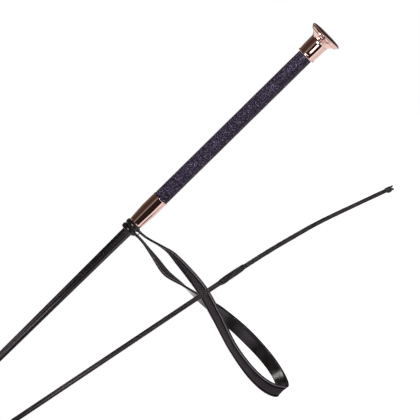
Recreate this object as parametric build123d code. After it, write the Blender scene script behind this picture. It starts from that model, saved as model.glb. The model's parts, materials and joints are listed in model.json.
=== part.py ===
from build123d import *
import math
import os

# A dressage whip, the long riding crop with a cord lash: weighted cap, glitter grip, tapered ferrule,
# wrist loop, braided shaft, and a lash bound to the tip. Millimetres and degrees, +Z up.
# The origin is the centre of the cap's end face. The handle runs from there along -X, the wrist loop
# hangs along -Z, and the flexible shaft is bent back through a half turn, so that the tip passes in
# front (-Y) of the loop. "Station" below means distance along the whip from the cap's end face.

os.makedirs("parts", exist_ok=True)

# ---------------------------------------------------------------- driving dimensions
CAP_D = 31.2
CAP_LENGTH = 8.8
CAP_RIM = 0.7
CAP_BEVEL_END = (2.9, 14.6)
CAP_GROOVE_WIDTH = 0.4
CAP_FLARE_START = (3.5, 13.9)
CAP_FLARE_MIDDLE = (5.6, 11.1)
CAP_FLARE_END = 8.2
FACE_PLATE_D = 24.0
FACE_PLATE_THICKNESS = 0.8
COLLAR_D = 17.8
COLLAR_END_D = 17.0
COLLAR_END = 25.5
BEAD_RADIUS = 0.55
CAP_WEB = 1.2
STUD_D = 5.0
STUD_END = 24.0
WEIGHT_START = 10.8
WEIGHT_LENGTH = 42.0

TUBE_D = 11.6
TUBE_BORE = 9.0
TUBE_TAIL = 12.0
PADDING_D = 12.8
GRIP_D = 14.2
GRIP_END = 203.5
BUTT_BUSH_START = 123.0
BUTT_BUSH_LENGTH = 14.0

FERRULE_WALL = 0.6
FERRULE_FLOOR = 1.2
EDGE_BREAK = 0.5
FERRULE_D = 14.9
FERRULE_END_D = 12.7
FERRULE_SHOULDER = 219.0
FERRULE_END = 235.0
FERRULE_BUSH_LENGTH = 18.0

RING_WIDTH = 4.5
RING_WALL = 2.9
RING_STATIONS = (235.4, 240.4)
RING_SEAT_END = 245.0

SHAFT_BUTT_D = 9.2
SHAFT_LIMIT_D = 3.7
SHAFT_TAPER_LENGTH = 284.0
CORE_SHARE = 0.6
CORE_BUTT = 120.0
TAPER_STEPS = 6

FLEX_START = 450.0
FLEX_HINGES = 8
FLEX_TURN = 180.0
FLEX_RADIUS = 110.0
FLEX_LEAN = 5.25
FLEX_DIP = 2.3
TIP_RUN = 294.0

BALL_SHARE = 1.5
HINGE_GAP = 0.06
FIT_GAP = 0.05

WHIPPING_LENGTH = 22.0
WHIPPING_D = 5.7
WHIPPING_INSET = 0.6
THREAD_D = 0.25
LASH_D = 3.9
LASH_TIP_D = 3.3
LASH_LENGTHS = (46.0, 38.0, 49.5)
LASH_DROOPS = (2.2, 3.2, 3.2)
KNOT_D = 6.0
KNOT_LENGTH = 6.4
TAIL_LENGTH = 2.6
TAIL_D = 1.5
TAIL_OFFSET = 1.05
TAIL_SPREAD = 16.0

STRAP_WIDTH = 15.2
STEM_WIDTH = 4.4
STRAP_LAYER = 1.0
LOOP_PIVOT = (-240.2, 0.0, -12.0)
KEEPER_RADIUS = 3.2
KEEPER_DEPTH = 4.0
LOOP_STEPS = 2

# The wrist loop's centre line from the upper stem, down the front limb, round the bottom fold and up
# the rear limb to the lower stem: x, y and z of each station, then how far the strap's width has
# turned from the whip's axis, towards -Y.
LOOP_STATIONS = (
    (-236.8, -0.6, -16, 84),
    (-232.1, -3.0, -32, 76),
    (-230.3, -5.2, -47, 62),
    (-232.6, -8.3, -80, 47),
    (-239.6, -9.5, -107, 47),
    (-248.8, -9.0, -136, 52),
    (-253.1, -8.5, -164, 45),
    (-251.6, -6.5, -184, 34),
    (-245.8, -0.5, -193.8, 20),
    (-240.3, 5.5, -184, 36),
    (-236.8, 7.5, -164, 37),
    (-236.2, 8.5, -136, 33),
    (-238.6, 9.0, -107, 42),
    (-241.8, 8.5, -88, 60),
    (-244.3, 7.3, -68, 83),
    (-247.2, 5.8, -50, 98),
    (-244.5, 3.0, -32, 98),
    (-242.0, 0.6, -16, 90),
)


# ---------------------------------------------------------------- shared shapes and formulas
def shaft_radius(station):
    """The braided shaft is parallel under the rings, then thins quickly at first and slowly to the tip."""
    beyond = max(0.0, station - RING_SEAT_END)
    fade = math.exp(-beyond / SHAFT_TAPER_LENGTH)
    return (SHAFT_LIMIT_D + (SHAFT_BUTT_D - SHAFT_LIMIT_D) * fade) / 2


def core_radius(station):
    return CORE_SHARE * shaft_radius(station)


def turned(outline):
    """A solid of revolution about local X from a closed outline in local X (station) and Y (radius)."""
    return revolve(make_face(outline), Axis.X, 360)


def tube(start, end, outer, bore=0.0):
    """A tube between two stations, with its outer and inner diameters."""
    corners = [(start, bore / 2), (start, outer / 2), (end, outer / 2), (end, bore / 2)]
    return turned(Polyline(*corners, close=True))


def save(name, solid):
    solid.label = name
    export_step(solid, f"parts/{name}.step")


def along(origin, direction):
    """The placement whose local X runs along direction from origin."""
    side = direction.cross(Vector(0.0, 0.3, 1.0))
    return Plane(origin=origin, x_dir=direction, z_dir=side)


HANDLE = along(Vector(0, 0, 0), Vector(-1, 0, 0))
BUSH_END = FERRULE_END - FERRULE_FLOOR - FIT_GAP
FLEX_AXIS = Vector(
    math.sin(math.radians(FLEX_LEAN)),
    -math.sin(math.radians(FLEX_DIP)),
    math.cos(math.radians(FLEX_LEAN)),
).normalized()
FLEX_STEP = FLEX_TURN / FLEX_HINGES
LINK_LENGTH = 2 * FLEX_RADIUS * math.tan(math.radians(FLEX_STEP / 2))
TIP_STATION = FLEX_START + LINK_LENGTH * (FLEX_HINGES - 1) + TIP_RUN


def flexed(count):
    """The shaft's direction after that many hinges."""
    return Vector(-1, 0, 0).rotate(Axis((0, 0, 0), FLEX_AXIS), FLEX_STEP * count)


def hinge_points():
    """The centres of the shaft's flex hinges, from the handle towards the tip."""
    points = [Vector(-FLEX_START, 0, 0)]
    for count in range(1, FLEX_HINGES):
        points.append(points[-1] + flexed(count) * LINK_LENGTH)
    return points


# ---------------------------------------------------------------- cap and handle
def cap_head():
    """A flared button: a bevel behind its rim, a fine groove, and a sweep in to the neck. A blind
    threaded hole takes the stud, and a shallow seat in the end face takes the plate."""
    rim = CAP_D / 2
    neck = COLLAR_D / 2
    groove = (CAP_FLARE_START[0] - CAP_GROOVE_WIDTH, CAP_FLARE_START[1])
    plate = FACE_PLATE_D / 2 + FIT_GAP
    floor = FACE_PLATE_THICKNESS + FIT_GAP
    hole = STUD_D / 2 + FIT_GAP
    hole_end = floor + CAP_WEB
    outline = [
        Line((hole_end, 0), (hole_end, hole)),
        Line((hole_end, hole), (CAP_LENGTH, hole)),
        Line((CAP_LENGTH, hole), (CAP_LENGTH, neck)),
        Line((CAP_LENGTH, neck), (CAP_FLARE_END, neck)),
        ThreePointArc((CAP_FLARE_END, neck), CAP_FLARE_MIDDLE, CAP_FLARE_START),
        Line(CAP_FLARE_START, groove),
        Line(groove, CAP_BEVEL_END),
        Line(CAP_BEVEL_END, (CAP_RIM, rim)),
        Line((CAP_RIM, rim), (0, rim - CAP_RIM)),
        Line((0, rim - CAP_RIM), (0, plate)),
        Line((0, plate), (floor, plate)),
        Line((floor, plate), (floor, 0)),
        Line((floor, 0), (hole_end, 0)),
    ]
    return turned(outline)


def cap_face_plate():
    """The inlaid disc, flush with the cap's end face."""
    return tube(0, FACE_PLATE_THICKNESS, FACE_PLATE_D)


def cap_stud():
    return tube(FACE_PLATE_THICKNESS + CAP_WEB + 4 * FIT_GAP, STUD_END, STUD_D)


def cap_collar():
    """The bright sleeve between cap and grip, slightly tapered, with a rolled bead at the grip end."""
    start = CAP_LENGTH + FIT_GAP
    bead = COLLAR_END - 2 * BEAD_RADIUS
    bore = TUBE_D / 2 + FIT_GAP
    mouth = COLLAR_END_D / 2
    outline = [
        Line((start, bore), (start, COLLAR_D / 2)),
        Line((start, COLLAR_D / 2), (bead, mouth)),
        ThreePointArc((bead, mouth), (bead + BEAD_RADIUS, mouth + BEAD_RADIUS * 0.8), (COLLAR_END, mouth)),
        Line((COLLAR_END, mouth), (COLLAR_END, bore)),
        Line((COLLAR_END, bore), (start, bore)),
    ]
    return turned(outline)


def balance_weight():
    """A slug in the top of the handle, threaded onto the cap's stud."""
    body = tube(WEIGHT_START, WEIGHT_START + WEIGHT_LENGTH, TUBE_BORE - 2 * FIT_GAP)
    hole = tube(WEIGHT_START - 1, STUD_END + 1, STUD_D + 2 * FIT_GAP)
    return body - hole


def handle_tube():
    return tube(CAP_LENGTH + 6 * FIT_GAP, GRIP_END + TUBE_TAIL, TUBE_D, TUBE_BORE)


def grip_layer(outer, bore):
    """One sleeve of the grip, between the collar and the ferrule."""
    return tube(COLLAR_END + 2 * FIT_GAP, GRIP_END - 2 * FIT_GAP, outer, bore + 2 * FIT_GAP)


def butt_bush():
    """The bush that centres the shaft's core in the handle tube."""
    bore = 2 * (core_radius(CORE_BUTT) + FIT_GAP)
    end = BUTT_BUSH_START + BUTT_BUSH_LENGTH
    return tube(BUTT_BUSH_START, end, TUBE_BORE - 2 * FIT_GAP, bore)


def ferrule():
    """A thin cup over the end of the handle tube: straight to its shoulder, then tapered, and closed
    round the shaft at its small end."""
    bore = shaft_radius(0) + FIT_GAP
    mouth = FERRULE_D / 2
    small = FERRULE_END_D / 2
    floor = FERRULE_END - FERRULE_FLOOR
    corners = [
        (GRIP_END, mouth - FERRULE_WALL),
        (GRIP_END, mouth - EDGE_BREAK),
        (GRIP_END + EDGE_BREAK, mouth),
        (FERRULE_SHOULDER, mouth),
        (FERRULE_END - EDGE_BREAK, small),
        (FERRULE_END, small - EDGE_BREAK),
        (FERRULE_END, bore),
        (floor, bore),
        (floor, small - FERRULE_WALL),
        (FERRULE_SHOULDER, mouth - FERRULE_WALL),
    ]
    return turned(Polyline(*corners, close=True))


def ferrule_bush():
    """The plastic bush between the shaft and the ferrule's inside."""
    outer = FERRULE_END_D - 2 * FERRULE_WALL - 2 * FIT_GAP
    return tube(BUSH_END - FERRULE_BUSH_LENGTH, BUSH_END, outer, 2 * (shaft_radius(0) + FIT_GAP))


# ---------------------------------------------------------------- shaft
def ball_reach(ball, radius):
    """How far from its centre a ball of that radius cuts a rod's surface, or 0 where there is no ball."""
    return math.sqrt(ball**2 - radius**2) if ball else 0.0


def rod(length, outer, bore, ball_before=0.0, ball_after=0.0):
    """A tapered rod or sleeve along local X between two hinge centres. Outer and bore list its radii at
    even steps from one to the other. The far end is a convex cap of the ball round the next hinge, and
    the near end is hollowed by the ball round the hinge before, so neighbours turn without touching."""
    step = length / (len(outer) - 1)
    stations = [step * count for count in range(1, len(outer) - 1)]
    outer_near = (ball_reach(ball_before, outer[0]), outer[0])
    outer_far = (length + ball_reach(ball_after, outer[-1]), outer[-1])
    bore_near = (ball_reach(ball_before, bore[0]), bore[0])
    bore_far = (length + ball_reach(ball_after, bore[-1]), bore[-1])
    outline = [Polyline(outer_near, *zip(stations, outer[1:-1]), outer_far)]
    if ball_after:
        middle = (outer[-1] + bore[-1]) / 2
        crown = (length + ball_reach(ball_after, middle), middle)
        outline.append(ThreePointArc(outer_far, crown, bore_far))
    else:
        outline.append(Line(outer_far, bore_far))
    if bore[0]:
        bore_line = list(zip(stations, bore[1:-1]))
        outline.append(Polyline(bore_far, *reversed(bore_line), bore_near))
    else:
        outline.append(Line(bore_far, bore_near))
    if ball_before:
        middle = (outer[0] + bore[0]) / 2
        hollow = (ball_reach(ball_before, middle), middle)
        outline.append(ThreePointArc(bore_near, hollow, outer_near))
    else:
        outline.append(Line(bore_near, outer_near))
    return turned(outline)


def shaft_pair(start, length, steps, ball_before=0.0):
    """The core and the braid of one stretch of shaft from a station, in local coordinates."""
    stations = [start + length * count / steps for count in range(steps + 1)]
    core_radii = [core_radius(station) for station in stations]
    braid_radii = [shaft_radius(station) for station in stations]
    bore_radii = [radius + FIT_GAP for radius in core_radii]
    ball_after = BALL_SHARE * braid_radii[-1]
    core = rod(length, core_radii, [0.0] * len(stations), ball_before, ball_after)
    braid = rod(length, braid_radii, bore_radii, ball_before, ball_after)
    return core, braid


def save_butt():
    """The shaft's fixed butt: parallel through the ferrule and wraps, then tapering to the first hinge."""
    core, braid = shaft_pair(RING_SEAT_END, FLEX_START - RING_SEAT_END, TAPER_STEPS)
    taper_start = Pos(RING_SEAT_END, 0, 0)
    braid_start = BUSH_END - FERRULE_BUSH_LENGTH
    core_d = 2 * core_radius(0)
    save("shaft_core_butt", HANDLE * (tube(CORE_BUTT, RING_SEAT_END, core_d) + taper_start * core))
    sleeve = tube(braid_start, RING_SEAT_END, SHAFT_BUTT_D, core_d + 2 * FIT_GAP)
    save("shaft_braid_butt", HANDLE * (sleeve + taper_start * braid))


def save_links():
    """The seven short links through the bend and the straight tip run, each from hinge to hinge."""
    for count, point in enumerate(hinge_points(), 1):
        last = count == FLEX_HINGES
        name = "tip" if last else str(count)
        start = FLEX_START + LINK_LENGTH * (count - 1)
        ball_before = BALL_SHARE * shaft_radius(start) + HINGE_GAP
        if last:
            core, braid = shaft_pair(start, TIP_RUN, TAPER_STEPS, ball_before)
        else:
            core, braid = shaft_pair(start, LINK_LENGTH, 1, ball_before)
        place = along(point, flexed(count))
        save(f"shaft_core_{name}", place * core)
        save(f"shaft_braid_{name}", place * braid)


# ---------------------------------------------------------------- wrist loop
def wrap_ring(start):
    """A rolled leather wrap round the shaft: a band with a rounded outside."""
    bore = shaft_radius(0) + FIT_GAP
    end = start + RING_WIDTH
    shoulder = bore + 0.8
    crown = ((start + end) / 2, bore + RING_WALL)
    outline = [
        Line((start, bore), (start, shoulder)),
        ThreePointArc((start, shoulder), crown, (end, shoulder)),
        Line((end, shoulder), (end, bore)),
        Line((end, bore), (start, bore)),
    ]
    return HANDLE * turned(outline)


def strap_keeper():
    """The tie that holds the strap's two stems together under the wraps; the loop swings about it."""
    x, y, z = LOOP_PIVOT
    return Plane(origin=(x, y + KEEPER_DEPTH / 2, z), z_dir=(0, -1, 0)) * extrude(
        Circle(KEEPER_RADIUS), KEEPER_DEPTH
    )


def loop_width(z):
    """The strap's width: narrow stems at the top that broaden to the full width below."""
    top, full = LOOP_STATIONS[0][2], LOOP_STATIONS[2][2]
    share = min(1.0, max(0.0, (top - z) / (top - full)))
    return STEM_WIDTH + (STRAP_WIDTH - STEM_WIDTH) * share


def loop_frames():
    """Points along the loop's centre line, each with the directions across and out of the strap."""
    points = [Vector(*station[:3]) for station in LOOP_STATIONS]
    line = Spline(*points)
    params = [line.param_at_point(point) for point in points]
    for count in range((len(points) - 1) * LOOP_STEPS + 1):
        before = min(count // LOOP_STEPS, len(points) - 2)
        share = count / LOOP_STEPS - before
        param = params[before] * (1 - share) + params[before + 1] * share
        turn = LOOP_STATIONS[before][3] * (1 - share) + LOOP_STATIONS[before + 1][3] * share
        across = Vector(math.cos(math.radians(turn)), -math.sin(math.radians(turn)), 0)
        tangent = line.tangent_at(param)
        outward = tangent.cross(across).normalized()
        yield line.position_at(param), outward.cross(tangent), outward


def strap_layer(offset):
    """One leather layer of the loop: a ribbon of ruled faces between rectangles across the centre line.
    Offset is how far outside the centre line the layer's middle runs."""
    rims = []
    for point, across, outward in loop_frames():
        half = across * (loop_width(point.Z) / 2)
        top = point + outward * (offset + STRAP_LAYER / 2)
        bottom = point + outward * (offset - STRAP_LAYER / 2)
        corners = (top + half, top - half, bottom - half, bottom + half)
        rims.append([Edge.make_line(corners[side], corners[(side + 1) % 4]) for side in range(4)])
    faces = [Face(Wire(rims[0])), Face(Wire(rims[-1]))]
    for rim, following in zip(rims, rims[1:]):
        faces += [Face.make_surface_from_curves(*pair) for pair in zip(rim, following)]
    return Solid(Shell(faces))


# ---------------------------------------------------------------- lash
def spindle(start, end, mouth, middle, bore):
    """A solid that swells from a radius at its ends to a middle radius, with a straight bore."""
    outline = [
        Line((start, bore), (start, mouth)),
        Spline((start, mouth), ((start + end) / 2, middle), (end, mouth)),
        Line((end, mouth), (end, bore)),
        Line((end, bore), (start, bore)),
    ]
    return turned(outline)


def tip_whipping():
    """The thread binding over the last stretch of the shaft, where the lash is joined on."""
    end = TIP_RUN - WHIPPING_INSET
    start = end - WHIPPING_LENGTH
    bore = shaft_radius(TIP_STATION - WHIPPING_LENGTH) + FIT_GAP
    return spindle(start, end, bore + THREAD_D, WHIPPING_D / 2, bore)


def lash_knot():
    """The round knot that stops the end of the cord."""
    return spindle(FIT_GAP, KNOT_LENGTH, LASH_TIP_D / 2, KNOT_D / 2, 0.0)


def lash_tails():
    """The two cut ends of cord that stand out of the knot and spread apart."""
    tails = []
    clear = KNOT_LENGTH + FIT_GAP + TAIL_D / 2 * math.sin(math.radians(TAIL_SPREAD))
    for side in (-1, 1):
        place = Pos(clear, side * TAIL_OFFSET, 0) * Rot(0, 90, 0) * Rot(side * TAIL_SPREAD, 0, 0)
        tails.append(place * Cylinder(TAIL_D / 2, TAIL_LENGTH, align=(Align.CENTER, Align.CENTER, Align.MIN)))
    return Compound(children=tails)


def lash_stretches():
    """Each stretch of the lash: its start, its direction, its length and its radii at both ends."""
    point = hinge_points()[-1] + flexed(FLEX_HINGES) * TIP_RUN
    direction = flexed(FLEX_HINGES)
    level = direction.cross(Vector(0, 0, 1)).normalized()
    slimming = (LASH_D - LASH_TIP_D) / 2 / sum(LASH_LENGTHS)
    radius = LASH_D / 2
    for length, droop in zip(LASH_LENGTHS, LASH_DROOPS):
        direction = direction.rotate(Axis((0, 0, 0), level), -droop)
        yield point, direction, length, radius, radius - slimming * length
        point = point + direction * length
        radius -= slimming * length


def save_lash():
    """Three stretches of cord that droop one after another, then the knot and its tails."""
    ball_before = BALL_SHARE * shaft_radius(TIP_STATION) + HINGE_GAP
    for count, (point, direction, length, start, end) in enumerate(lash_stretches(), 1):
        ball_after = BALL_SHARE * end if count < len(LASH_LENGTHS) else 0.0
        cord = rod(length, (start, end), (0.0, 0.0), ball_before, ball_after)
        save(f"lash_cord_{count}", along(point, direction) * cord)
        ball_before = ball_after + HINGE_GAP
    tip = along(point + direction * length, direction)
    save("lash_knot", tip * lash_knot())
    save("lash_tails", tip * lash_tails())


# ---------------------------------------------------------------- the whole whip
save("cap_head", HANDLE * cap_head())
save("cap_face_plate", HANDLE * cap_face_plate())
save("cap_stud", HANDLE * cap_stud())
save("cap_collar", HANDLE * cap_collar())
save("balance_weight", HANDLE * balance_weight())
save("handle_tube", HANDLE * handle_tube())
save("grip_padding", HANDLE * grip_layer(PADDING_D, TUBE_D))
save("grip_cover", HANDLE * grip_layer(GRIP_D, PADDING_D))
save("butt_bush", HANDLE * butt_bush())
save("ferrule", HANDLE * ferrule())
save("ferrule_bush", HANDLE * ferrule_bush())
save_butt()
save_links()
save("wrap_ring_upper", wrap_ring(RING_STATIONS[0]))
save("wrap_ring_lower", wrap_ring(RING_STATIONS[1]))
save("strap_keeper", strap_keeper())
save("strap_outer", strap_layer(STRAP_LAYER / 2 + 0.01))
save("strap_lining", strap_layer(-STRAP_LAYER / 2 - 0.01))
last_place = along(hinge_points()[-1], flexed(FLEX_HINGES))
save("tip_whipping", last_place * tip_whipping())
save_lash()
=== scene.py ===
import json
import math

import bpy
from mathutils import Matrix, Quaternion, Vector, noise


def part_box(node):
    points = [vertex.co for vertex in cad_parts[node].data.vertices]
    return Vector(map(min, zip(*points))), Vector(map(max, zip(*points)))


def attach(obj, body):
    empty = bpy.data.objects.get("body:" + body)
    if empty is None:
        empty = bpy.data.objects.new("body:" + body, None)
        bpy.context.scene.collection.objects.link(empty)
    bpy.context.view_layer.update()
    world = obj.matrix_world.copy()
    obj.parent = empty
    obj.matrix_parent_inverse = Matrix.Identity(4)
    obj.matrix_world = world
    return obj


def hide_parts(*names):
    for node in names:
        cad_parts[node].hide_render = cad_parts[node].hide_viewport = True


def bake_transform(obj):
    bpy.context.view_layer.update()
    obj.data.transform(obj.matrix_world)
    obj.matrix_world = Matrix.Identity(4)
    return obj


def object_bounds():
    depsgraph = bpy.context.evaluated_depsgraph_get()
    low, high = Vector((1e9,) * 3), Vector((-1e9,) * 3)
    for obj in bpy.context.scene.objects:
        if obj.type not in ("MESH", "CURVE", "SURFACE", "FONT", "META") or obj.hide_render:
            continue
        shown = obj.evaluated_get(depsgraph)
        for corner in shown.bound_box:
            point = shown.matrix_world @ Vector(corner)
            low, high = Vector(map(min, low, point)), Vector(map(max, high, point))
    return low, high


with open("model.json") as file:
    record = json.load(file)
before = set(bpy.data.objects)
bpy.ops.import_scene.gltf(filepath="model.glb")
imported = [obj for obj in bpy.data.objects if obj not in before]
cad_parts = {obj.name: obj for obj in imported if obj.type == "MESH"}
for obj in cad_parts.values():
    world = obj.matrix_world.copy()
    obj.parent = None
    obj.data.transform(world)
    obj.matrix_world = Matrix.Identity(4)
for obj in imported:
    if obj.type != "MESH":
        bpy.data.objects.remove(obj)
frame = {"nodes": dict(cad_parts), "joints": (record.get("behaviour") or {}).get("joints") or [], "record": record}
cad_low, cad_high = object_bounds()

# The looks of a dressage whip. Lengths are metres in the part's own frame: the handle runs from the
# cap's end face along -X, the wrist loop hangs along -Z, and the shaft bends back on the -Y side.
# "Station" means distance along the whip from the cap's end face.

MM = 0.001
RIGHT = Vector((1, 0, 0))
UP = Vector((0, 0, 1))
TAU = 2 * math.pi


# ---------------------------------------------------------------- sizes read from the frame
def radius_of(node):
    """A node's outer radius round the handle's axis."""
    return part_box(node)[1].z


def stations_of(node):
    """Where a handle node starts and ends."""
    low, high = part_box(node)
    return -high.x, -low.x


JOINTS = {joint["name"]: joint for joint in frame["joints"]}
FLEX_COUNT = 8
FLEX_JOINTS = [JOINTS[f"shaft_flex_{count}"] for count in range(1, FLEX_COUNT + 1)]
FLEX_POINTS = [Vector(joint["pos_m"]) for joint in FLEX_JOINTS]
FLEX_AXIS = Vector(FLEX_JOINTS[0]["axis"])
FLEX_STEP = -math.radians(FLEX_JOINTS[0]["range_deg"][0])
FLEX_START = -FLEX_POINTS[0].x
LINK = (FLEX_POINTS[1] - FLEX_POINTS[0]).length
LASH_POINTS = [Vector(JOINTS[name]["pos_m"]) for name in ("lash_sway", "lash_curl_1", "lash_curl_2")]
TIP_RUN = (LASH_POINTS[0] - FLEX_POINTS[-1]).length
TIP_WAY = (LASH_POINTS[0] - FLEX_POINTS[-1]).normalized()
TIP_LIFT = TIP_WAY.cross(UP).normalized().cross(TIP_WAY)
TIP_STATION = FLEX_START + LINK * (len(FLEX_POINTS) - 1) + TIP_RUN

CAP_RADIUS = radius_of("cap_head")
CAP_END = stations_of("cap_head")[1]
CAP_GROOVE = 3.0 * MM
CAP_GROOVE_RADIUS = 13.7 * MM
# The flare is a curve that is drawn towards this station.
CAP_FLARE_PULL = 6.3 * MM
PLATE_RADIUS = radius_of("cap_face_plate")
COLLAR_START, COLLAR_END = stations_of("cap_collar")
COLLAR_RADIUS = radius_of("cap_collar")
COLLAR_END_RADIUS = 8.5 * MM
COLLAR_BEAD = 1.1 * MM
COLLAR_BARREL = 0.16 * MM
GRIP_START, GRIP_END = stations_of("grip_cover")
GRIP_RADIUS = radius_of("grip_cover")
FERRULE_START, FERRULE_END = stations_of("ferrule")
FERRULE_RADIUS = radius_of("ferrule")
FERRULE_SHOULDER = 219 * MM
FERRULE_END_RADIUS = 6.35 * MM
TUBE_RADIUS = radius_of("handle_tube")
SEAT_RADIUS = radius_of("shaft_braid_butt")
SEAT_END = 245 * MM
SHAFT_LIMIT_RADIUS = 1.85 * MM
SHAFT_TAPER_LENGTH = 284 * MM
STRAP_WIDTH = 15.2 * MM
STRAP_LAYER = 1.0 * MM
LINING_INSET = 0.3 * MM
# The strap's stems are narrow down to this height, and broaden over this length below it.
STEM_WIDTH = 4.4 * MM
STEM_END = -14 * MM
STEM_WIDENING = 36 * MM
# The pressed crease runs this far in from the strap's edge, and is this wide to each side.
CREASE_INSET = 2.2 * MM
CREASE_REACH = 0.9 * MM
CREASE_DEPTH = 0.45 * MM
LOOP_PIVOT = Vector(JOINTS["loop_swing"]["pos_m"])
# Where the middle of the strap's face lies in its section's outline: point 9 of 22.
TOP_MIDDLE = 9 / 22


def shaft_radius(station):
    """The braid's radius: parallel under the wraps, then thinning quickly at first and slowly to the
    tip."""
    fade = math.exp(-max(0.0, station - SEAT_END) / SHAFT_TAPER_LENGTH)
    return SHAFT_LIMIT_RADIUS + (SEAT_RADIUS - SHAFT_LIMIT_RADIUS) * fade


def smoothstep(value):
    """An S-shaped step from 0 to 1 as value goes from 0 to 1."""
    value = min(1.0, max(0.0, value))
    return value * value * (3 - 2 * value)


# ---------------------------------------------------------------- mesh helpers
def mesh_object(name, vertices, faces, uvs, material):
    """A smooth-shaded mesh with one UV pair for each face corner, in metres of surface."""
    mesh = bpy.data.meshes.new(name)
    mesh.from_pydata([tuple(vertex) for vertex in vertices], [], faces)
    layer = mesh.uv_layers.new(name="surface")
    for loop, uv in zip(layer.data, uvs):
        loop.uv = uv
    mesh.polygons.foreach_set("use_smooth", [True] * len(faces))
    mesh.materials.append(material)
    mesh.update()
    piece = bpy.data.objects.new(name, mesh)
    bpy.context.scene.collection.objects.link(piece)
    return piece


def skin(name, rings, material, width=None, close_ends=True, closed_path=False, start=0.0):
    """A surface through rings of points. U runs round the ring, and V along the path from start."""
    count = len(rings[0])
    vertices = [point for ring in rings for point in ring]
    centres = [sum(ring, Vector()) / count for ring in rings]
    along = [start]
    for before, after in zip(centres, centres[1:]):
        along.append(along[-1] + (after - before).length)
    around = width or TAU * max((point - centres[0]).length for point in rings[0])
    faces = []
    uvs = []
    for row in range(len(rings) - (0 if closed_path else 1)):
        after = (row + 1) % len(rings)
        v_after = along[after] if after else along[-1] + (centres[0] - centres[-1]).length
        here, there = row * count, after * count
        for column in range(count):
            beside = (column + 1) % count
            faces.append((here + column, here + beside, there + beside, there + column))
            left, right = around * column / count, around * (column + 1) / count
            uvs += [(left, along[row]), (right, along[row]), (right, v_after), (left, v_after)]
    if close_ends and not closed_path:
        last = (len(rings) - 1) * count
        faces.append(tuple(reversed(range(count))))
        faces.append(tuple(last + column for column in range(count)))
        uvs += [(0.0, 0.0)] * (2 * count)
    return mesh_object(name, vertices, faces, uvs, material)


def bow(start, pull, end, share):
    """A point on the curve from start to end that is drawn towards pull, at that share of the way."""
    return start * (1 - share) ** 2 + pull * (2 * share * (1 - share)) + end * share**2


def rounded(outline, radius, steps=4):
    """A 2D outline with each inner corner replaced by a small arc, so that edges catch the light."""
    points = [outline[0]]
    for before, corner, after in zip(outline, outline[1:], outline[2:]):
        corner = Vector(corner)
        back = Vector(before) - corner
        ahead = Vector(after) - corner
        trim = min(radius, back.length * 0.45, ahead.length * 0.45)
        start = corner + back.normalized() * trim
        end = corner + ahead.normalized() * trim
        for step in range(steps + 1):
            points.append(bow(start, corner, end, step / steps))
    points.append(outline[-1])
    return [Vector(point) for point in points]


def handle_point(station, radius, angle):
    """A point by its place round the handle's axis: angle 0 faces the camera's side, and 90 is up."""
    return Vector((-station, -radius * math.cos(angle), radius * math.sin(angle)))


def lathe(name, outline, material, segments=128):
    """A surface turned round the handle's axis from (station, radius) points."""
    rings = []
    for station, radius in outline:
        ring = []
        for segment in range(segments):
            ring.append(handle_point(station, radius, TAU * segment / segments))
        rings.append(ring)
    width = TAU * max(radius for _, radius in outline)
    return skin(name, rings, material, width=width, close_ends=False)


def carried_frames(points):
    """The direction of travel at each point, and a sideways direction carried along without twisting."""
    frames = []
    side = None
    for index, point in enumerate(points):
        before = points[max(0, index - 1)]
        after = points[min(len(points) - 1, index + 1)]
        tangent = (after - before).normalized()
        if side is None:
            side = tangent.cross(UP if abs(tangent.z) < 0.9 else RIGHT).normalized()
        side = (side - tangent * side.dot(tangent)).normalized()
        frames.append((tangent, side))
    return frames


def tube(name, points, radii, material, segments=24, close_ends=True, width=None, start=0.0):
    """A round tube along points, with a radius for each."""
    rings = []
    for point, radius, (tangent, side) in zip(points, radii, carried_frames(points)):
        other = tangent.cross(side)
        ring = []
        for segment in range(segments):
            angle = TAU * segment / segments
            ring.append(point + (side * math.cos(angle) + other * math.sin(angle)) * radius)
        rings.append(ring)
    width = width or TAU * max(radii)
    return skin(name, rings, material, width=width, close_ends=close_ends, start=start)


def spline(points, steps):
    """A Catmull-Rom curve through points of any dimension, with that many steps between two of them."""
    result = []
    padded = [points[0] * 2 - points[1], *points, points[-1] * 2 - points[-2]]
    for a, b, c, d in zip(padded, padded[1:], padded[2:], padded[3:]):
        slope = c - a
        curl = a * 2 - b * 5 + c * 4 - d
        twist = b * 3 - a - c * 3 + d
        for step in range(steps):
            t = step / steps
            result.append((b * 2 + slope * t + curl * t**2 + twist * t**3) * 0.5)
    return result + [points[-1]]


# ---------------------------------------------------------------- material helpers
class Nodes:
    """A node tree built one short line at a time."""

    def __init__(self, tree):
        self.tree = tree

    def fill(self, socket, value):
        """Links a socket to another node's output, or sets its own value."""
        if isinstance(value, bpy.types.NodeSocket):
            self.tree.links.new(value, socket)
        else:
            socket.default_value = value

    def node(self, kind, inputs=None, output=0, **settings):
        """Adds a node, sets its properties and inputs, and returns one of its outputs."""
        node = self.tree.nodes.new(kind)
        for name, value in settings.items():
            setattr(node, name, value)
        for name, value in (inputs or {}).items():
            self.fill(node.inputs[name], value)
        return node.outputs[output]

    def math(self, operation, first, second=0.0):
        return self.node("ShaderNodeMath", {0: first, 1: second}, operation=operation)

    def mix(self, factor, first, second):
        """Mixes two colours, each a socket or (red, green, blue)."""
        colours = [(*colour, 1) if isinstance(colour, tuple) else colour for colour in (first, second)]
        inputs = {0: factor, 6: colours[0], 7: colours[1]}
        return self.node("ShaderNodeMix", inputs, output=2, data_type="RGBA")

    def ramp(self, factor, *stops):
        """A colour ramp from (position, grey or colour) stops."""
        socket = self.node("ShaderNodeValToRGB", {"Fac": factor})
        elements = socket.node.color_ramp.elements
        while len(elements) < len(stops):
            elements.new(0.5)
        for element, (position, colour) in zip(elements, stops):
            element.position = position
            element.color = (*colour, 1) if isinstance(colour, tuple) else (colour, colour, colour, 1)
        return socket


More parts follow.
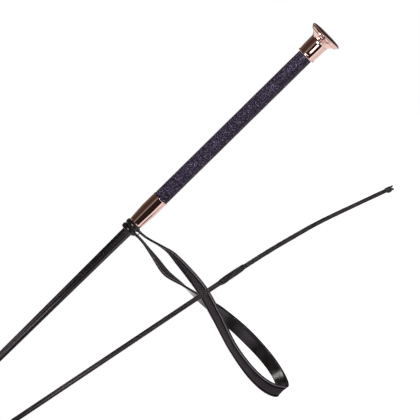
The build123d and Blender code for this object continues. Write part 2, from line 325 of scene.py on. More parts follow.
class Shader(Nodes):
    """A node material round a Principled surface."""

    def __init__(self, name, **settings):
        self.material = bpy.data.materials.new(name)
        self.material.use_nodes = True
        super().__init__(self.material.node_tree)
        self.surface = self.tree.nodes["Principled BSDF"]
        for label, value in settings.items():
            self.set(label.replace("_", " "), value)

    def set(self, label, value):
        """Sets or links one of the surface's inputs."""
        names = {name.lower(): name for name in self.surface.inputs.keys()}
        self.fill(self.surface.inputs[names[label.lower()]], value)

    def object_place(self, scale=(1, 1, 1)):
        """The place in the piece's own frame, in metres, multiplied by scale."""
        place = self.node("ShaderNodeTexCoord", output="Object")
        return self.node("ShaderNodeMapping", {"Vector": place, "Scale": scale})

    def surface_place(self, scale=(1, 1, 1)):
        """The piece's own surface coordinates, across and along, in metres, multiplied by scale."""
        place = self.node("ShaderNodeUVMap", uv_map="surface")
        return self.node("ShaderNodeMapping", {"Vector": place, "Scale": scale})

    def noise(self, place, scale, detail=2.0, roughness=0.5):
        inputs = {"Vector": place, "Scale": scale, "Detail": detail, "Roughness": roughness}
        return self.node("ShaderNodeTexNoise", inputs)

    def bump(self, height, depth, strength=1.0):
        """Bumps the surface by height times depth, in metres."""
        normal = self.node("ShaderNodeBump", {"Height": height, "Distance": depth, "Strength": strength})
        self.set("Normal", normal)


# ---------------------------------------------------------------- materials
def rose_gold():
    """Polished plate: tiny scratches along the turning direction and a slightly uneven polish."""
    shader = Shader("rose_gold", metallic=1.0)
    smears = shader.noise(shader.object_place(), 240.0, 3.0)
    shader.set("Base Color", shader.mix(smears, (0.80, 0.555, 0.500), (0.86, 0.640, 0.590)))
    shader.set("Roughness", shader.ramp(smears, (0.3, 0.04), (0.75, 0.07)))
    scratches = shader.noise(shader.object_place((14000, 500, 500)), 1.0, 2.0)
    shader.bump(scratches, 0.0008 * MM, 0.12)
    return shader.material


def glitter_grip():
    """Dark navy leatherette packed with fine glitter flakes that catch light one by one."""
    shader = Shader("glitter_grip")
    shader.set("Specular IOR Level", 0.2)
    place = shader.object_place()
    flakes = shader.node("ShaderNodeTexVoronoi", {"Vector": place, "Scale": 1500.0}, output="Color")
    share = shader.node("ShaderNodeSeparateColor", {"Color": flakes})
    patches = shader.noise(place, 420.0, 3.0, 0.6)
    lift = shader.math("MULTIPLY", share, shader.ramp(patches, (0.3, 0.55), (0.7, 1.0)))
    dark = shader.ramp(patches, (0.3, (0.014, 0.011, 0.021)), (0.7, (0.028, 0.022, 0.042)))
    shine = shader.ramp(
        share.node.outputs[1],
        (0.0, (0.065, 0.052, 0.095)),
        (0.7, (0.15, 0.12, 0.21)),
        (1.0, (0.38, 0.29, 0.42)),
    )
    chosen = shader.ramp(lift, (0.45, 0.0), (0.70, 1.0))
    shader.set("Base Color", shader.mix(chosen, dark, shine))
    shader.set("Roughness", shader.ramp(share.node.outputs[2], (0.0, 0.34), (1.0, 0.62)))
    shader.set("Metallic", shader.math("MULTIPLY", chosen, 0.25))
    cells = shader.node("ShaderNodeTexVoronoi", {"Vector": place, "Scale": 1500.0}, output="Distance")
    shader.bump(shader.math("ADD", cells, shader.math("MULTIPLY", share, 0.6)), 0.08 * MM, 0.8)
    return shader.material


def black_braid():
    """Waxed nylon plaited round the rod: slanting strands each way, painted highlight streaks along the length,
    and painted highlights on the weave.
    """
    shader = Shader("black_braid")
    shader.set("Specular IOR Level", 0.16)
    split = shader.node("ShaderNodeSeparateXYZ", {"Vector": shader.surface_place((1, 0.55, 1))})
    along = split.node.outputs[1]
    pitch = TAU / (1.1 * MM)
    right = shader.math("SINE", shader.math("MULTIPLY", shader.math("ADD", split, along), pitch))
    left = shader.math("SINE", shader.math("MULTIPLY", shader.math("SUBTRACT", split, along), pitch))
    weave = shader.math("MULTIPLY", right, left)
    highlight_streaks = shader.noise(shader.surface_place((620, 9, 1)), 1.0, 2.0, 0.55)
    # Painted highlight: long pale bands along the strands are put into the base colour in place of light; the same
    # streaks also vary roughness and bump.
    low, middle, high = (0.005, 0.004, 0.005), (0.030, 0.024, 0.029), (0.15, 0.13, 0.15)
    tone = shader.ramp(highlight_streaks, (0.38, low), (0.53, middle), (0.66, high))
    # Painted highlight: the weave's raised points get a paler colour.
    weave_highlight = shader.ramp(weave, (0.2, 0.0), (1.0, 0.18))
    shader.set("Base Color", shader.mix(weave_highlight, tone, (0.075, 0.066, 0.074)))
    shader.set("Roughness", shader.ramp(highlight_streaks, (0.3, 0.60), (0.7, 0.45)))
    shader.bump(shader.math("ADD", weave, shader.math("MULTIPLY", highlight_streaks, 2.0)), 0.05 * MM, 0.7)
    return shader.material


def leather(name, dark, light, rough, grain_depth, edge=None):
    """Black leather with a pebbled grain, faint long creases and a slightly worn tone. Edge, if given, is the pale
    colour of a painted highlight along the strap's rounded edges, and the strip that the crease presses is painted
    dark as shade."""
    shader = Shader(name)
    shader.set("Specular IOR Level", 0.18 if edge else 0.5)
    place = shader.object_place()
    pebbles = shader.node("ShaderNodeTexVoronoi", {"Vector": place, "Scale": 1500.0}, output="Distance")
    creases = shader.noise(shader.surface_place((900, 60, 1)), 1.0, 3.0, 0.6)
    wear = shader.noise(place, 130.0, 4.0, 0.6)
    tone = shader.mix(shader.ramp(wear, (0.35, 0.0), (0.75, 1.0)), dark, light)
    if edge:
        place_round = shader.surface_place((1 / (2 * STRAP_WIDTH), 1, 1))
        around = shader.node("ShaderNodeSeparateXYZ", {"Vector": place_round})
        from_middle = shader.math("ABSOLUTE", shader.math("SUBTRACT", around, TOP_MIDDLE))
        # Painted highlight: a pale band along the strap's rounded edges, where light catches.
        painted_edge_highlight = shader.ramp(from_middle, (0.13, 0.0), (0.15, 1.0), (0.33, 1.0), (0.38, 0.0))
        # Painted shade: the strip that the crease presses is made nearly black and given almost no shine.
        crease_shade = shader.ramp(from_middle, (0.040, 0.0), (0.052, 1.0), (0.130, 1.0), (0.137, 0.0))
        tone = shader.mix(crease_shade, shader.mix(painted_edge_highlight, tone, edge), (0.003, 0.003, 0.003))
        shader.set("Specular IOR Level", shader.ramp(crease_shade, (0.0, 0.18), (1.0, 0.02)))
    shader.set("Base Color", tone)
    shader.set("Roughness", shader.ramp(wear, (0.3, rough - 0.05), (0.7, rough + 0.08)))
    shader.bump(shader.math("ADD", pebbles, creases), grain_depth, 0.7)
    return shader.material


def cord(name, tone):
    """Waxed cord: fine fibres along each strand, with duller and shinier stretches."""
    shader = Shader(name)
    fibres = shader.noise(shader.surface_place((5000, 350, 1)), 1.0, 3.0, 0.65)
    low = tuple(channel * 0.45 for channel in tone)
    high = tuple(min(1.0, channel * 2.4) for channel in tone)
    shader.set("Base Color", shader.ramp(fibres, (0.3, low), (0.5, tone), (0.75, high)))
    shader.set("Roughness", shader.ramp(fibres, (0.3, 0.6), (0.7, 0.4)))
    shader.bump(fibres, 0.08 * MM, 0.8)
    return shader.material


def plain(name, low, high, rough, metallic=0.0, scale=300.0):
    """A quiet material for the pieces inside the handle: two tones, uneven gloss and a fine texture."""
    shader = Shader(name, metallic=metallic)
    cloud = shader.noise(shader.object_place(), scale, 4.0, 0.6)
    shader.set("Base Color", shader.ramp(cloud, (0.3, low), (0.7, high)))
    shader.set("Roughness", shader.ramp(cloud, (0.3, rough - 0.08), (0.7, rough + 0.08)))
    shader.bump(cloud, 0.03 * MM, 0.6)
    return shader.material


MATERIALS = {
    "rose_gold": rose_gold(),
    "glitter_grip": glitter_grip(),
    "black_braid": black_braid(),
    "black_leather": leather(
        "black_leather",
        dark=(0.024, 0.018, 0.023),
        light=(0.052, 0.041, 0.050),
        rough=0.58,
        grain_depth=0.015 * MM,
        # edge: the colour of the painted highlight along the strap's edges.
        edge=(0.21, 0.18, 0.21),
    ),
    "patent_lining": leather(
        "patent_lining",
        dark=(0.004, 0.004, 0.004),
        light=(0.009, 0.008, 0.009),
        rough=0.17,
        grain_depth=0.004 * MM,
    ),
    "wrap_leather": leather(
        "wrap_leather",
        dark=(0.007, 0.006, 0.007),
        light=(0.016, 0.014, 0.016),
        rough=0.25,
        grain_depth=0.004 * MM,
    ),
    "black_thread": cord("black_thread", (0.012, 0.011, 0.012)),
    "lash_cord": cord("lash_cord", (0.016, 0.014, 0.016)),
    "steel": plain("steel", (0.35, 0.35, 0.36), (0.55, 0.55, 0.56), 0.35, metallic=1.0),
    "tube_plastic": plain("tube_plastic", (0.010, 0.010, 0.011), (0.022, 0.022, 0.024), 0.5),
    "foam": plain("foam", (0.015, 0.015, 0.016), (0.035, 0.035, 0.037), 0.85, scale=1200.0),
    "fibreglass": plain("fibreglass", (0.42, 0.40, 0.32), (0.62, 0.60, 0.50), 0.4, scale=500.0),
}


def finish_piece(piece, slot, *nodes):
    """Hides the CAD nodes that a new piece stands for, and returns the piece. The slot is not used."""
    if nodes:
        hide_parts(*nodes)
    return piece


def repaint_cad_nodes():
    """Gives every CAD node the procedural material of its slot."""
    slots = {row["node"]: row["material_slot"] for row in frame["record"]["subparts"]}
    for name, piece in frame["nodes"].items():
        piece.data.materials.clear()
        piece.data.materials.append(MATERIALS[slots[name]])


# ---------------------------------------------------------------- cap, collar, grip and ferrule
def build_cap():
    """The flared button: flat face, round rim, fine groove, and a flare that sweeps in to the neck."""
    neck = COLLAR_RADIUS - 0.05 * MM
    front = [
        (0.0, PLATE_RADIUS + 0.1 * MM),
        (0.0, CAP_RADIUS - 0.9 * MM),
        (0.8 * MM, CAP_RADIUS),
        (1.7 * MM, CAP_RADIUS - 0.25 * MM),
        (CAP_GROOVE - 0.15 * MM, CAP_GROOVE_RADIUS + 0.8 * MM),
        (CAP_GROOVE, CAP_GROOVE_RADIUS),
        (CAP_GROOVE + 0.35 * MM, CAP_GROOVE_RADIUS - 0.05 * MM),
        (CAP_GROOVE + 0.45 * MM, CAP_GROOVE_RADIUS + 0.35 * MM),
        (CAP_GROOVE + 0.7 * MM, CAP_GROOVE_RADIUS + 0.15 * MM),
    ]
    start = Vector(front[-1])
    pull = Vector((CAP_FLARE_PULL, neck + 0.35 * MM))
    end = Vector((CAP_END, neck))
    steps = 16
    flare = [bow(start, pull, end, step / steps) for step in range(1, steps + 1)]
    piece = lathe("cap_button", rounded(front, 0.25 * MM) + flare, MATERIALS["rose_gold"])
    finish_piece(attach(piece, "handle"), "rose_gold", "cap_head")


def build_face_plate():
    """The inlaid end plate: flush, with a softly dished middle and a bevelled edge."""
    radius = PLATE_RADIUS
    outline = [(0.7 * MM, radius), (0.35 * MM, radius), (0.0, radius - 0.4 * MM)]
    for step in range(13):
        share = 1 - step / 12
        dish = 0.35 * MM * (1 - share**2)
        outline.append((0.05 * MM + dish, max(0.01 * MM, (radius - 0.8 * MM) * share)))
    piece = lathe("cap_end_plate", rounded(outline, 0.1 * MM), MATERIALS["rose_gold"])
    finish_piece(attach(piece, "handle"), "rose_gold", "cap_face_plate")


def build_collar():
    """The collar: a very slight barrel, so that a lamp shows as a short bar, and a rolled bead."""
    outline = [(COLLAR_START, COLLAR_RADIUS - 1.5 * MM), (COLLAR_START, COLLAR_RADIUS - 0.2 * MM)]
    length = COLLAR_END - COLLAR_BEAD - COLLAR_START - 0.2 * MM
    for step in range(13):
        share = step / 12
        straight = COLLAR_RADIUS + (COLLAR_END_RADIUS - COLLAR_RADIUS) * share
        hollow = COLLAR_BARREL * (2 * share - 1) ** 2
        outline.append((COLLAR_START + 0.1 * MM + length * share, straight - hollow))
    for step in range(9):
        angle = math.pi * step / 8
        station = COLLAR_END - COLLAR_BEAD / 2 * (1 + math.cos(angle))
        outline.append((station, COLLAR_END_RADIUS - 0.12 * MM + COLLAR_BEAD * 0.42 * math.sin(angle)))
    outline.append((COLLAR_END, TUBE_RADIUS))
    piece = lathe("collar", [Vector(point) for point in outline], MATERIALS["rose_gold"])
    finish_piece(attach(piece, "handle"), "rose_gold", "cap_collar")


def build_grip():
    """The glitter sleeve: slightly uneven, rolled in at both ends, with a lapped seam along the back."""
    rings = []
    segments = 96
    steps = 220
    seam_angle = math.radians(200)
    for step in range(steps + 1):
        station = GRIP_START + (GRIP_END - GRIP_START) * step / steps
        edge = min(station - GRIP_START, GRIP_END - station)
        tuck = 0.35 * MM * (1 - smoothstep(edge / (1.2 * MM)))
        ring = []
        for segment in range(segments):
            angle = TAU * segment / segments
            lap = (angle - seam_angle + math.pi) % TAU - math.pi
            seam = 0.22 * MM * math.exp(-((lap / 0.045) ** 2))
            flow = noise.noise(Vector((station * 90, math.cos(angle) * 1.5, math.sin(angle) * 1.5)))
            radius = GRIP_RADIUS - 0.06 * MM - tuck - seam + flow * 0.05 * MM
            ring.append(handle_point(station, radius, angle))
        rings.append(ring)
    piece = skin("grip_sleeve", rings, MATERIALS["glitter_grip"], width=TAU * GRIP_RADIUS)
    finish_piece(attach(piece, "handle"), "glitter_grip", "grip_cover")


def build_ferrule():
    """The cup: a rolled lip over the grip's end, straight to a soft shoulder, then tapered and turned
    in."""
    lip = 0.9 * MM
    top = FERRULE_RADIUS
    small = FERRULE_END_RADIUS
    inner = SEAT_RADIUS + 0.05 * MM
    outline = [
        (FERRULE_START, top - 0.6 * MM),
        (FERRULE_START, top - 0.05 * MM),
        (FERRULE_START + lip * 0.4, top + 0.08 * MM),
        (FERRULE_START + lip, top - 0.06 * MM),
        (FERRULE_SHOULDER, top - 0.02 * MM),
        (FERRULE_END - 1.0 * MM, small + 0.05 * MM),
        (FERRULE_END - 0.1 * MM, small - 0.3 * MM),
        (FERRULE_END, inner + 0.3 * MM),
        (FERRULE_END - 0.2 * MM, inner),
    ]
    piece = lathe("ferrule_cup", rounded(outline, 0.35 * MM, 6), MATERIALS["rose_gold"])
    finish_piece(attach(piece, "handle"), "rose_gold", "ferrule")


# ---------------------------------------------------------------- shaft
def flex_arc(count):
    """The bend round one flex hinge: an arc that touches the middles of the stretches on each side."""
    hinge = FLEX_POINTS[count - 1]
    before = Quaternion(FLEX_AXIS, FLEX_STEP * (count - 1)) @ -RIGHT
    after = Quaternion(FLEX_AXIS, FLEX_STEP * count) @ -RIGHT
    start = hinge - before * LINK / 2
    end = hinge + after * LINK / 2
    steps = 24
    stride = (end - start).length / steps
    points = [start.copy()]
    for step in range(steps):
        way = Quaternion(FLEX_AXIS, FLEX_STEP * (step + 0.5) / steps) @ before
        points.append(points[-1] + way * stride)
    slip = end - points[-1]
    return [point + slip * index / steps for index, point in enumerate(points)], start, end


def shaft_cover(name, points, start_station, node):
    """One stretch of braid along points, with its radius from the shaft's taper. Its strands run on from
    the stretch before. Returns the piece and the station where it ends."""
    radii = []
    station = start_station
    for index, point in enumerate(points):
        if index:
            station += (point - points[index - 1]).length
        radii.append(shaft_radius(station))
    width = TAU * SEAT_RADIUS
    piece = tube(name, points, radii, MATERIALS["black_braid"], 40, False, width, start_station)
    return finish_piece(piece, "black_braid", node), station


def build_shaft():
    """The braid as one smooth run: the butt, and eight stretches that each bend round a hinge. The last
    one goes on to the tip."""
    first = FLEX_START - LINK / 2
    start = FERRULE_END - 1.2 * MM
    steps = 90
    butt = [-RIGHT * (start + (first - start) * step / steps) for step in range(steps + 1)]
    cover, station = shaft_cover("shaft_cover_butt", butt, start, "shaft_braid_butt")
    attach(cover, "handle")
    for count in range(1, FLEX_COUNT + 1):
        points, low, high = flex_arc(count)
        node = f"shaft_braid_{count}"
        if count == FLEX_COUNT:
            node = "shaft_braid_tip"
            run = TIP_RUN - LINK / 2
            points += [high + TIP_WAY * run * step / steps for step in range(1, steps + 1)]
        cover, station = shaft_cover(f"shaft_cover_{count}", points, station, node)
        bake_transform(cover)


# ---------------------------------------------------------------- whipping and lash
WHIPPING = 22 * MM
WHIPPING_END = LASH_POINTS[0] - TIP_WAY * 0.6 * MM
WHIPPING_TURNS = 56
THREAD_RADIUS = 0.24 * MM
LASH_RADIUS = 2.05 * MM
LASH_END_RADIUS = 1.7 * MM
LASH_WAVE = 0.12 * MM
LASH_WAVES = 3.3
PLAIT_STRANDS = 5
PLAIT_PITCH = 9.0 * MM
KNOT_CORD_RADIUS = 1.25 * MM
CUT_FIBRES = 8


def coil(start, way, length, turns, distance, steps_per_turn, phase=0.0):
    """Points of a helix round a straight line; distance gives its radius from the share of the length."""
    side = way.cross(UP).normalized()
    lift = side.cross(way)
    points = []
    steps = int(turns * steps_per_turn)
    for step in range(steps + 1):
        share = step / steps
        angle = TAU * turns * share + phase
        reach = distance(share)
        centre = start + way * length * share
        points.append(centre + side * reach * math.cos(angle) + lift * reach * math.sin(angle))
    return points


def build_whipping():
    """Thread wound over the splice, with the lash's tail lying across it from the lower side to the
    upper."""
    start = WHIPPING_END - TIP_WAY * WHIPPING
    base = shaft_radius(TIP_STATION)

    def swell(share):
        return base + 0.10 * MM + 0.40 * MM * math.sin(math.pi * share) ** 0.6

    thread = coil(start, TIP_WAY, WHIPPING, WHIPPING_TURNS, swell, 20)
    radii = [THREAD_RADIUS] * len(thread)
    piece = tube("whipping_thread", thread, radii, MATERIALS["black_thread"], segments=8)
    finish_piece(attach(piece, "shaft_tip"), "black_thread", "tip_whipping")

    def tail_path(share):
        return base + 0.40 * MM * math.sin(math.pi * share)

    tail = coil(start - TIP_WAY * 1 * MM, TIP_WAY, WHIPPING + 3 * MM, 0.5, tail_path, 96, phase=-1.75)
    radii = []
    for index in range(len(tail)):
        radii.append(0.3 * MM + 0.85 * MM * math.sin(math.pi * index / (len(tail) - 1)) ** 0.8)
    piece = tube("whipping_tail", tail, radii, MATERIALS["lash_cord"], segments=20)
    finish_piece(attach(piece, "shaft_tip"), "lash_cord")


def lash_line():
    """The lash's hinge points joined to its knotted end."""
    low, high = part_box("lash_knot")
    knot = (low + high) / 2
    return LASH_POINTS + [knot]


def plaited(name, points, radii):
    """A plaited cord: strands that wind one way and as many the other, weaving over and under."""
    frames = carried_frames(points)
    lengths = [0.0]
    for before, after in zip(points, points[1:]):
        lengths.append(lengths[-1] + (after - before).length)
    meshes = []
    for hand in (-1, 1):
        for strand in range(PLAIT_STRANDS):
            path = []
            for point, (tangent, side), length, radius in zip(points, frames, lengths, radii):
                turns = length / PLAIT_PITCH
                angle = TAU * (hand * turns + strand / PLAIT_STRANDS)
                over = 0.07 * hand * math.cos(2 * TAU * PLAIT_STRANDS * turns)
                outward = side * math.cos(angle) + tangent.cross(side) * math.sin(angle)
                path.append(point + outward * radius * (0.62 + over))
            thick = [radius * 0.40 for radius in radii]
            meshes.append(tube(f"{name}_strand", path, thick, MATERIALS["lash_cord"], segments=8))
    return join(name, meshes)


def join(name, pieces):
    """Joins meshes into one piece."""
    bpy.ops.object.select_all(action="DESELECT")
    for piece in pieces:
        piece.select_set(True)
    bpy.context.view_layer.objects.active = pieces[0]
    bpy.ops.object.join()
    pieces[0].name = name
    pieces[0].data.name = name
    return pieces[0]


def build_lash():
    """The plaited lash in three stretches, each bending round one hinge, with a slight natural wave."""
    line = lash_line()
    path = spline([LASH_POINTS[0] - TIP_WAY * 6 * MM, *line], 60)
    count = len(path)
    for index, point in enumerate(path):
        fade = math.sin(math.pi * index / (count - 1))
        path[index] = point + TIP_LIFT * LASH_WAVE * fade * math.sin(TAU * LASH_WAVES * index / count)
    middles = [(before + after) / 2 for before, after in zip(line, line[1:])]
    cuts = [0]
    for middle in middles[:-1]:
        cuts.append(min(range(count), key=lambda index: (path[index] - middle).length))
    cuts.append(count - 1)
    for index in range(3):
        span = range(cuts[index], cuts[index + 1] + 1)
        radii = [LASH_RADIUS + (LASH_END_RADIUS - LASH_RADIUS) * place / count for place in span]
        piece = plaited(f"lash_plait_{index + 1}", [path[place] for place in span], radii)
        finish_piece(piece, "lash_cord", f"lash_cord_{index + 1}")
        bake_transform(piece)


def build_knot():
    """The end knot, an overhand knot of the same cord, with its two cut ends."""
    low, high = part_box("lash_knot")
    centre = (low + high) / 2
    way = (lash_line()[-1] - LASH_POINTS[-1]).normalized()
    side = way.cross(UP).normalized()
    lift = side.cross(way)
    points = []
    steps = 120
    for step in range(steps + 1):
        t = TAU * step / steps
        across = 0.52 * (math.sin(t) + 2 * math.sin(2 * t))
        up = 0.52 * (math.cos(t) - 2 * math.cos(2 * t))
        ahead = -1.5 * math.sin(3 * t)
        points.append(centre + (way * ahead + side * across + lift * up) * MM)
    radii = [KNOT_CORD_RADIUS] * len(points)
    knot = tube("lash_end_knot", points, radii, MATERIALS["lash_cord"], segments=16)
    finish_piece(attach(knot, "lash_3"), "lash_cord", "lash_knot")
    fibres = []
    for number in range(CUT_FIBRES):
        angle = TAU * number / CUT_FIBRES
        across = (side * math.cos(angle) + lift * math.sin(angle)).normalized()
        stub = lift * (1.0 if number % 2 else -1.0)
        root = centre + way * 2.0 * MM + (stub * 0.9 + across * 0.35) * MM
        out = (way + stub * 0.20 + across * 0.08).normalized()
        length = (2.0 + 0.6 * ((number * 5) % 4) / 3) * MM
        strand = [root + out * length * step / 6 for step in range(7)]
        thin = [0.52 * MM * (1 - 0.5 * (step / 6) ** 2) for step in range(7)]
        fibres.append(tube(f"fibre_{number}", strand, thin, MATERIALS["lash_cord"], segments=8))
    tails = join("lash_cut_ends", fibres)
    finish_piece(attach(tails, "lash_3"), "lash_cord", "lash_tails")


# ---------------------------------------------------------------- wrist loop
# The strap's centre line, as in the CAD: x, y, z in millimetres and the turn of its width in degrees.
# The first and last stations run up under the wraps.
LOOP_STATIONS = (
    (-238.0, -0.2, -6.4, 88),
    (-236.8, -0.6, -16, 84),
    (-232.1, -3.0, -32, 76),
    (-230.3, -5.2, -47, 62),
    (-232.6, -8.3, -80, 47),
    (-239.6, -9.5, -107, 47),
    (-248.8, -9.0, -136, 52),
    (-253.1, -8.5, -164, 45),
    (-251.6, -6.5, -184, 34),
    (-245.8, -0.5, -193.8, 20),
    (-240.3, 5.5, -184, 36),
    (-236.8, 7.5, -164, 37),
    (-236.2, 8.5, -136, 33),
    (-238.6, 9.0, -107, 42),
    (-241.8, 8.5, -88, 60),
    (-244.3, 7.3, -68, 83),
    (-247.2, 5.8, -50, 98),
    (-244.5, 3.0, -32, 98),
    (-242.0, 0.6, -16, 90),
    (-241.8, 0.2, -6.4, 90),
)


def loop_width(z):
    """Narrow stems at the top that broaden to the full width below."""
    share = smoothstep((STEM_END - z) / STEM_WIDENING)
    return STEM_WIDTH + (STRAP_WIDTH - STEM_WIDTH) * share


def loop_frames():
    """Points along the strap's centre line, each with the directions across and out of the strap."""
    curve = spline([Vector(station) for station in LOOP_STATIONS], 14)
    points = [Vector(place[:3]) * MM for place in curve]
    frames = []
    for place, (tangent, _) in zip(curve, carried_frames(points)):
        turn = math.radians(place[3])
        across = Vector((math.cos(turn), -math.sin(turn), 0))
        outward = tangent.cross(across).normalized()
        frames.append((Vector(place[:3]) * MM, outward.cross(tangent), outward))
    return frames


def strap_section(width, groove):
    """A layer's outline across its width: rounded edges, and a pressed crease near each edge, which
    fades out on the narrow stems."""
    half = width / 2
    face = STRAP_LAYER
    bevel = face * 0.45
    crease = half - CREASE_INSET
    depth = groove * smoothstep((half - 2.8 * MM) / (3 * MM))
    side = []
    for step in range(6):
        angle = math.pi / 2 * step / 5
        side.append((half - bevel * (1 - math.cos(angle)), face - bevel * (1 - math.sin(angle))))
    side += [(crease + CREASE_REACH, face), (crease, face - depth), (crease - CREASE_REACH, face)]
    mirrored = [(-place, rise) for place, rise in reversed(side)]
    return side + [(0.0, face + 0.06 * MM)] + mirrored + [(-half, 0.0), (0.0, 0.0), (half, 0.0)]


def strap_layer(name, slot, node, groove=0.0, inset=0.0, flip=False):
    """One leather layer of the loop, swept along the centre line, on its inner side if flipped."""
    rings = []
    for point, across, outward in loop_frames():
        out = -outward if flip else outward
        section = strap_section(loop_width(point.z) - inset, groove)
        rings.append([point + across * place + out * rise for place, rise in section])
    piece = skin(name, rings, MATERIALS[slot], width=2 * STRAP_WIDTH)
    finish_piece(piece, slot, node)
    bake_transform(piece)


def build_strap():
    """The creased outer layer and, back to back with it, the glossy lining."""
    strap_layer("strap_outer_leather", "black_leather", "strap_outer", groove=CREASE_DEPTH)
    strap_layer("strap_lining_leather", "patent_lining", "strap_lining", inset=LINING_INSET, flip=True)


def squared(value, power):
    """A sine or cosine, made blunter by a power below one, so that a circle turns into a rounded box."""
    return math.copysign(abs(value) ** power, value)


def wrap(name, node):
    """One wrap of the strap's rolled end round the shaft, pinched in towards the stem below."""
    low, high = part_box(node)
    middle = -(low.x + high.x) / 2
    half_width = (high.x - low.x) / 2
    inner = SEAT_RADIUS + 0.05 * MM
    outer = high.z
    rings = []
    segments = 96
    for segment in range(segments):
        angle = TAU * segment / segments
        down = max(0.0, -math.sin(angle))
        pinch = 1 - 0.38 * down**6
        section = []
        for step in range(20):
            turn = TAU * step / 20
            uneven = 1 + 0.05 * math.sin(2 * angle)
            reach = (inner + outer) / 2 + (outer - inner) / 2 * math.sin(turn) * uneven
            spread = half_width * 0.98 * pinch * squared(math.cos(turn), 0.75)
            section.append(handle_point(middle - spread, reach, angle))
        rings.append(section)
    piece = skin(name, rings, MATERIALS["wrap_leather"], closed_path=True)
    finish_piece(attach(piece, "loop_wraps"), "black_leather", node)


def build_keeper():
    """The small tie round the two stems just below the wraps."""
    points = []
    for step in range(49):
        angle = TAU * step / 48
        x = LOOP_PIVOT.x + 0.3 * MM + 3.1 * MM * squared(math.cos(angle), 0.6)
        y = 2.3 * MM * squared(math.sin(angle), 0.6)
        points.append(Vector((x, y, LOOP_PIVOT.z + 3.2 * MM)))
    piece = tube("stem_tie", points, [0.4 * MM] * len(points), MATERIALS["black_thread"], segments=12)
    finish_piece(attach(piece, "loop_wraps"), "black_leather", "strap_keeper")


# ---------------------------------------------------------------- stage, light and camera
FLOOR_REACH = 14.0
FLOOR_DROP = 0.16


def build_floor():
    """A plain pale floor under the hanging whip. It glows white, so it melts into the studio."""
    level = cad_low.z - FLOOR_DROP
    mesh = bpy.data.meshes.new("floor")
    square = ((-1, -1), (1, -1), (1, 1), (-1, 1))
    corners = [(FLOOR_REACH * x, FLOOR_REACH * y, level) for x, y in square]
    mesh.from_pydata(corners, [], [(0, 1, 2, 3)])
    floor = bpy.data.objects.new("floor", mesh)
    bpy.context.scene.collection.objects.link(floor)
    shader = Shader("pale_floor", roughness=0.9)
    cloud = shader.noise(shader.object_place(), 3.0, 2.0)
    shader.set("Base Color", shader.ramp(cloud, (0.3, 0.90), (0.7, 0.92)))
    shader.set("Emission Color", (1, 1, 1, 1))
    shader.set("Emission Strength", 1.0)
    mesh.materials.append(shader.material)
    floor.visible_glossy = False
    floor.visible_diffuse = False


class Sky(Nodes):
    """The world's nodes: a colour for every direction, painted over region by region."""

    def __init__(self, name):
        world = bpy.data.worlds.new(name)
        bpy.context.scene.world = world
        world.use_nodes = True
        super().__init__(world.node_tree)
        self.tree.nodes.clear()

    def above(self, value, low):
        """One where value is above low, else zero."""
        return self.math("GREATER_THAN", value, low)

    def below(self, value, high):
        """One where value is below high, else zero."""
        return self.math("LESS_THAN", value, high)

    def between(self, value, low, high):
        """One where value lies between low and high, else zero."""
        return self.all_of(self.above(value, low), self.below(value, high))

    def all_of(self, first, *others):
        """One where every one of the limits is met."""
        for other in others:
            first = self.math("MULTIPLY", first, other)
        return first

    def bands(self, angle, stops):
        """A colour ramp round a full turn from (degrees, colour) stops."""
        turn = self.math("ADD", self.math("MULTIPLY", angle, 1 / TAU), 0.5)
        return self.ramp(turn, *((degrees / 360 + 0.5, colour) for degrees, colour in stops))


# What the polished parts reflect, by the angle round the handle's axis: 0 is towards the camera's side
# and 90 is straight up. A bright floor below, a dark front, and a dim warm ceiling.
REFLECTED = (
    (-180, (0.95, 0.93, 0.92)),
    (-145, (0.93, 0.90, 0.89)),
    (-100, (0.82, 0.79, 0.79)),
    (-76, (0.92, 0.88, 0.87)),
    (-70, (1.12, 1.10, 1.09)),
    (-59, (1.12, 1.10, 1.09)),
    (-55, (0.018, 0.010, 0.009)),
    (-20, (0.030, 0.018, 0.015)),
    (18, (0.022, 0.014, 0.012)),
    (22, (0.30, 0.27, 0.25)),
    (34, (0.30, 0.27, 0.25)),
    (40, (0.090, 0.062, 0.050)),
    (80, (0.060, 0.036, 0.028)),
    (120, (0.16, 0.115, 0.095)),
    (160, (0.24, 0.20, 0.18)),
    (174, (1.0, 0.98, 0.97)),
)


# The regions that lie over those bands, and what the other rays see.
BRIGHT_WALL = (0.98, 0.93, 0.91)
DARK_WALL = (0.030, 0.020, 0.018)
DARK_WALL_EDGE = (0.45, 0.36, 0.34)
FRONT_LAMP = (18.0, 17.5, 18.0)
SOFT_PATCH = (1.6, 1.40, 1.6)
LINING_LAMP = (9.0, 8.7, 8.5)
MATTE_LIGHT = (0.13, 0.128, 0.126)
STUDIO_WHITE = (1.0, 1.0, 1.0)


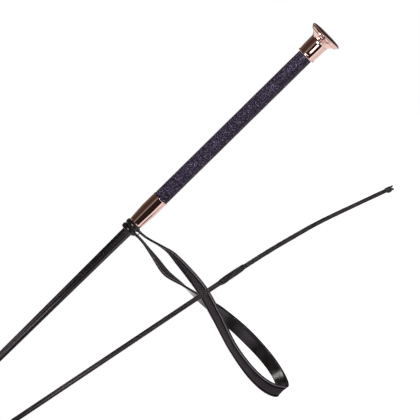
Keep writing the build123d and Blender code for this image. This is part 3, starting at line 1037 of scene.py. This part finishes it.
def build_world():
    """White studio for the camera and a soft pale light for matte surfaces. Polished surfaces see the
    bands above, a bright wall beyond the bend that also reaches under the whip, a dark wall opposite the
    camera with a paler edge, a lamp in front, and a soft patch and a small lamp beyond the bend that
    light the strap's lining. Each region's limits are parts of a direction whose length is one."""
    sky = Sky("studio")
    direction = sky.node("ShaderNodeTexCoord", output="Generated")
    split = sky.node("ShaderNodeSeparateXYZ", {"Vector": direction})
    x, y, z = split.node.outputs
    angle = sky.math("ARCTAN2", z, sky.math("MULTIPLY", y, -1.0))
    seen = sky.bands(angle, REFLECTED)
    beside = sky.math("MAXIMUM", sky.above(y, 0.06), sky.below(z, -0.15))
    seen = sky.mix(sky.all_of(sky.below(x, -0.5), beside), seen, BRIGHT_WALL)
    back = sky.all_of(sky.above(x, -0.05), sky.above(y, 0.75))
    seen = sky.mix(back, seen, DARK_WALL)
    seen = sky.mix(sky.all_of(back, sky.above(x, 0.2)), seen, DARK_WALL_EDGE)
    front = sky.all_of(sky.between(x, 0.04, 0.28), sky.between(angle, math.radians(2), math.radians(20)))
    seen = sky.mix(front, seen, FRONT_LAMP)
    patch = sky.all_of(sky.below(x, -0.9), sky.between(y, -0.42, -0.255), sky.between(z, -0.1, 0.1))
    seen = sky.mix(patch, seen, SOFT_PATCH)
    lamp = sky.all_of(sky.below(x, -0.8), sky.between(y, -0.15, 0.0), sky.between(z, 0.31, 0.45))
    seen = sky.mix(lamp, seen, LINING_LAMP)
    rays = sky.node("ShaderNodeLightPath").node
    seen = sky.mix(rays.outputs["Is Glossy Ray"], MATTE_LIGHT, seen)
    seen = sky.mix(rays.outputs["Is Camera Ray"], seen, STUDIO_WHITE)
    background = sky.node("ShaderNodeBackground", {"Color": seen, "Strength": 1.0})
    ending = sky.tree.nodes.new("ShaderNodeOutputWorld")
    sky.tree.links.new(background, ending.inputs["Surface"])


# Lamps: where each one stands, where it points, its two sizes, and its power in watts.
OVERHEAD = ((-0.2, -0.2, 2.6), (-0.2, 0, 0), (3.0, 3.0), 14)
KEY = ((0.15, -2.6, 0.75), (-0.2, 0, -0.08), (0.7, 0.7), 50)
BAR = ((-0.082, -0.49, -0.125), (-0.017, 0, 0), (0.074, 0.17), 0.105)


def area_lamp(name, place, target, size, power):
    """A flat rectangular lamp at a place, facing a target."""
    lamp = bpy.data.lights.new(name, "AREA")
    lamp.shape = "RECTANGLE"
    lamp.size, lamp.size_y = size
    lamp.energy = power
    holder = bpy.data.objects.new(name, lamp)
    holder.location = place
    holder.rotation_mode = "QUATERNION"
    holder.rotation_quaternion = (Vector(target) - Vector(place)).to_track_quat("-Z", "Y")
    bpy.context.scene.collection.objects.link(holder)
    return holder


def build_lamps():
    """A dim soft lamp overhead, a large soft key lamp beside the camera, and a small upright one close in
    front of the collar, which mirrors it as a short bar."""
    overhead = area_lamp("overhead", *OVERHEAD)
    overhead.visible_glossy = False
    key = area_lamp("key", *KEY)
    key.visible_glossy = False
    bar = area_lamp("bar", *BAR)
    bar.visible_diffuse = False
    bar.visible_camera = False


# The camera stands level with the whip, a little to the cap's side of square, and is rolled so that
# the handle climbs to the upper right.
CAMERA_DISTANCE = 4.0
CAMERA_TURN = math.radians(8.0)
CAMERA_ROLL = math.radians(44.45)
CAMERA_TARGET = Vector((-0.1799, 0.0, -0.03735))
# The width of what the camera sees at its target.
FIELD = 0.366


def build_camera():
    """A long lens, so that there is hardly any perspective."""
    camera = bpy.data.cameras.new("camera")
    camera.sensor_width = 36.0
    camera.lens = camera.sensor_width * CAMERA_DISTANCE / FIELD
    camera.clip_start, camera.clip_end = 0.1, 100.0
    holder = bpy.data.objects.new("camera", camera)
    bpy.context.scene.collection.objects.link(holder)
    look = Vector((-math.sin(CAMERA_TURN), math.cos(CAMERA_TURN), 0))
    level = look.cross(UP).normalized()
    rise = level.cross(look)
    right = level * math.cos(CAMERA_ROLL) - rise * math.sin(CAMERA_ROLL)
    top = level * math.sin(CAMERA_ROLL) + rise * math.cos(CAMERA_ROLL)
    place = Matrix((right, top, -look)).transposed().to_4x4()
    place.translation = CAMERA_TARGET - look * CAMERA_DISTANCE
    holder.matrix_world = place
    bpy.context.scene.camera = holder


# ---------------------------------------------------------------- everything together
repaint_cad_nodes()
build_cap()
build_face_plate()
build_collar()
build_grip()
build_ferrule()
build_shaft()
build_whipping()
build_lash()
build_knot()
build_strap()
wrap("wrap_upper", "wrap_ring_upper")
wrap("wrap_lower", "wrap_ring_lower")
build_keeper()
build_floor()
build_world()
build_lamps()
build_camera()

view = bpy.context.scene.view_settings
view.view_transform = "Standard"
view.look = "None"
